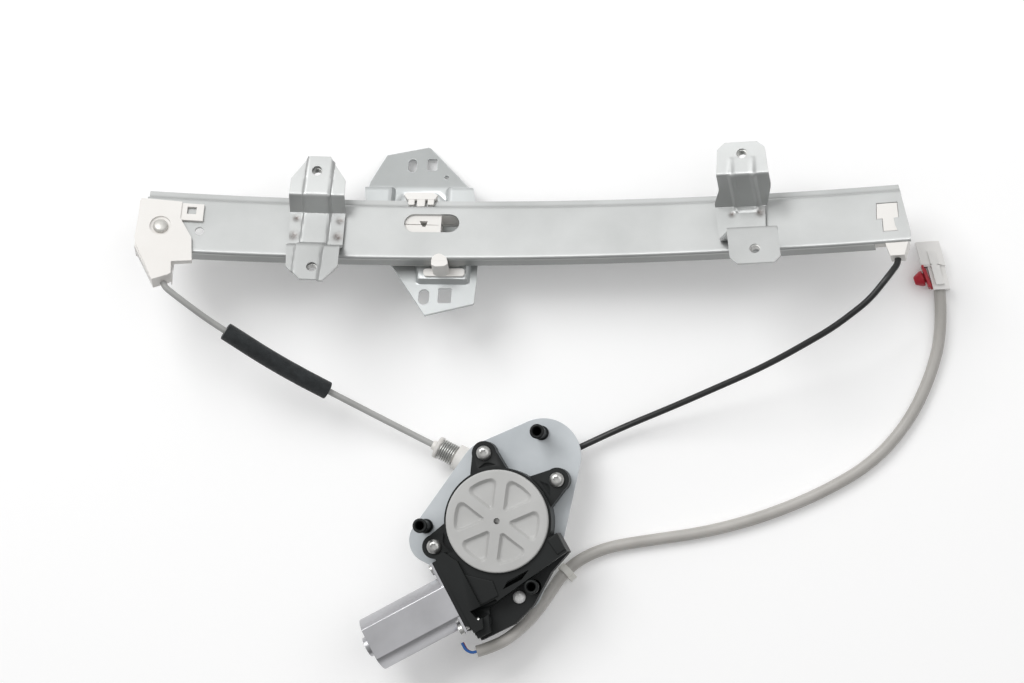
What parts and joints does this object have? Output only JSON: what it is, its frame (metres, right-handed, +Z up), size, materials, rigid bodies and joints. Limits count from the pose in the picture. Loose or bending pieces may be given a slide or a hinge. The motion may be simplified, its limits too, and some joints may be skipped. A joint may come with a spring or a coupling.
{
  "type": "window regulator",
  "caption": "Bowed guide rail with brackets, glass carrier and end pulley, driven through two cable conduits by a worm-gear motor and drum; wiring with plug.",
  "frame": {"origin": "bottom centre of the rail, motor and cable runs together, without the wiring; z 0 is the table", "axes": "+X along the guide rail towards its guide end, +Y from the motor towards the rail, +Z up from the table"},
  "size_m": [0.5087, 0.3343, 0.102],
  "materials": {
    "zinc_steel": "zinc plated, satin",
    "carrier_steel": "zinc plated, satin",
    "plate_steel": "bluish zinc, satin",
    "bright_steel": "bright zinc",
    "shaft_steel": "ground",
    "cable_steel": "stranded",
    "can_steel": "drawn, dull",
    "lamination_steel": "stacked sheets",
    "white_acetal": "satin",
    "natural_nylon": "satin",
    "red_nylon": "satin",
    "black_nylon": "satin",
    "cover_grey": "fine matt",
    "grey_conduit_skin": "satin",
    "black_conduit_skin": "satin",
    "foam": "open cell foam",
    "damper_rubber": "dull",
    "harness_vinyl": "smooth vinyl tube",
    "copper": "enamelled wire",
    "lead_blue": "insulated wire",
    "bearing_bronze": "sintered",
    "terminal_brass": "tinned",
    "ferrite": "dull",
    "carbon": "dull"
  },
  "bodies": {
    "frame": {"black_cable": "cable_steel", "black_conduit": "black_conduit_skin", "brush_card": "white_acetal", "cable_guide": "white_acetal", "cable_tie": "natural_nylon", "can_screws": "bright_steel", "connector_clip": "red_nylon", "connector_housing": "natural_nylon", "connector_terminals": "terminal_brass", "drum_housing": "white_acetal", "foam_sleeve": "foam", "gear_cover": "cover_grey", "gear_housing": "black_nylon", "gearcase_screws": "bright_steel", "grey_cable": "cable_steel", "grey_conduit": "grey_conduit_skin", "guide_rail": "zinc_steel", "harness_sleeve": "harness_vinyl", "left_bracket": "zinc_steel", "low_screw": "bright_steel", "motor_brushes": "carbon", "motor_can": "can_steel", "motor_leads": "lead_blue", "motor_magnets": "ferrite", "mounting_plate": "plate_steel", "pulley_bracket": "white_acetal", "pulley_rivet": "bright_steel", "rail_cable": "cable_steel", "right_bracket": "zinc_steel", "shaft_bearings": "bearing_bronze", "shaft_bushing": "bearing_bronze", "standoff_posts": "black_nylon", "tensioner_cap": "white_acetal", "tensioner_spring": "bright_steel", "weld_nuts": "bright_steel"},
    "drum": {"cable_drum": "white_acetal", "drum_cable": "cable_steel", "output_shaft": "shaft_steel", "worm_wheel": "white_acetal", "wheel_damper": "damper_rubber"},
    "armature": {"armature_shaft": "shaft_steel", "rotor_core": "lamination_steel", "rotor_windings": "copper", "commutator": "copper"},
    "pulley": {"cable_pulley": "black_nylon"},
    "carrier": {"glass_carrier": "carrier_steel", "slider_shoe": "white_acetal", "carrier_rivets": "bright_steel"}
  },
  "joints": [
    {"name": "carrier_travel", "type": "hinge", "parent": "frame", "child": "carrier", "pos_m": [0.00205, 0.75081, 1.56363], "axis": [0, -0.9205, 0.3907], "range_deg": [-2.95, 7.44]},
    {"name": "armature_spin", "type": "hinge", "parent": "frame", "child": "armature", "pos_m": [0.00178, -0.10177, 0.041], "axis": [0.881, 0.473, 0], "range_deg": [-23583.5, 9339.8]},
    {"name": "drum_spin", "type": "hinge", "parent": "frame", "child": "drum", "pos_m": [-0.01265, -0.0749, 0], "axis": [0, 0, 1], "range_deg": [-212.29, 536.02]},
    {"name": "pulley_spin", "type": "hinge", "parent": "frame", "child": "pulley", "pos_m": [-0.22698, 0.10649, 0.05595], "axis": [0.1383, 0.387, 0.9117], "range_deg": [-1072.03, 424.59]}
  ],
  "couplings": [
    {"joint": "drum_spin", "follows": "carrier_travel", "ratio": 71.978},
    {"joint": "armature_spin", "follows": "carrier_travel", "ratio": -3167},
    {"joint": "pulley_spin", "follows": "carrier_travel", "ratio": -143.96}
  ]
}
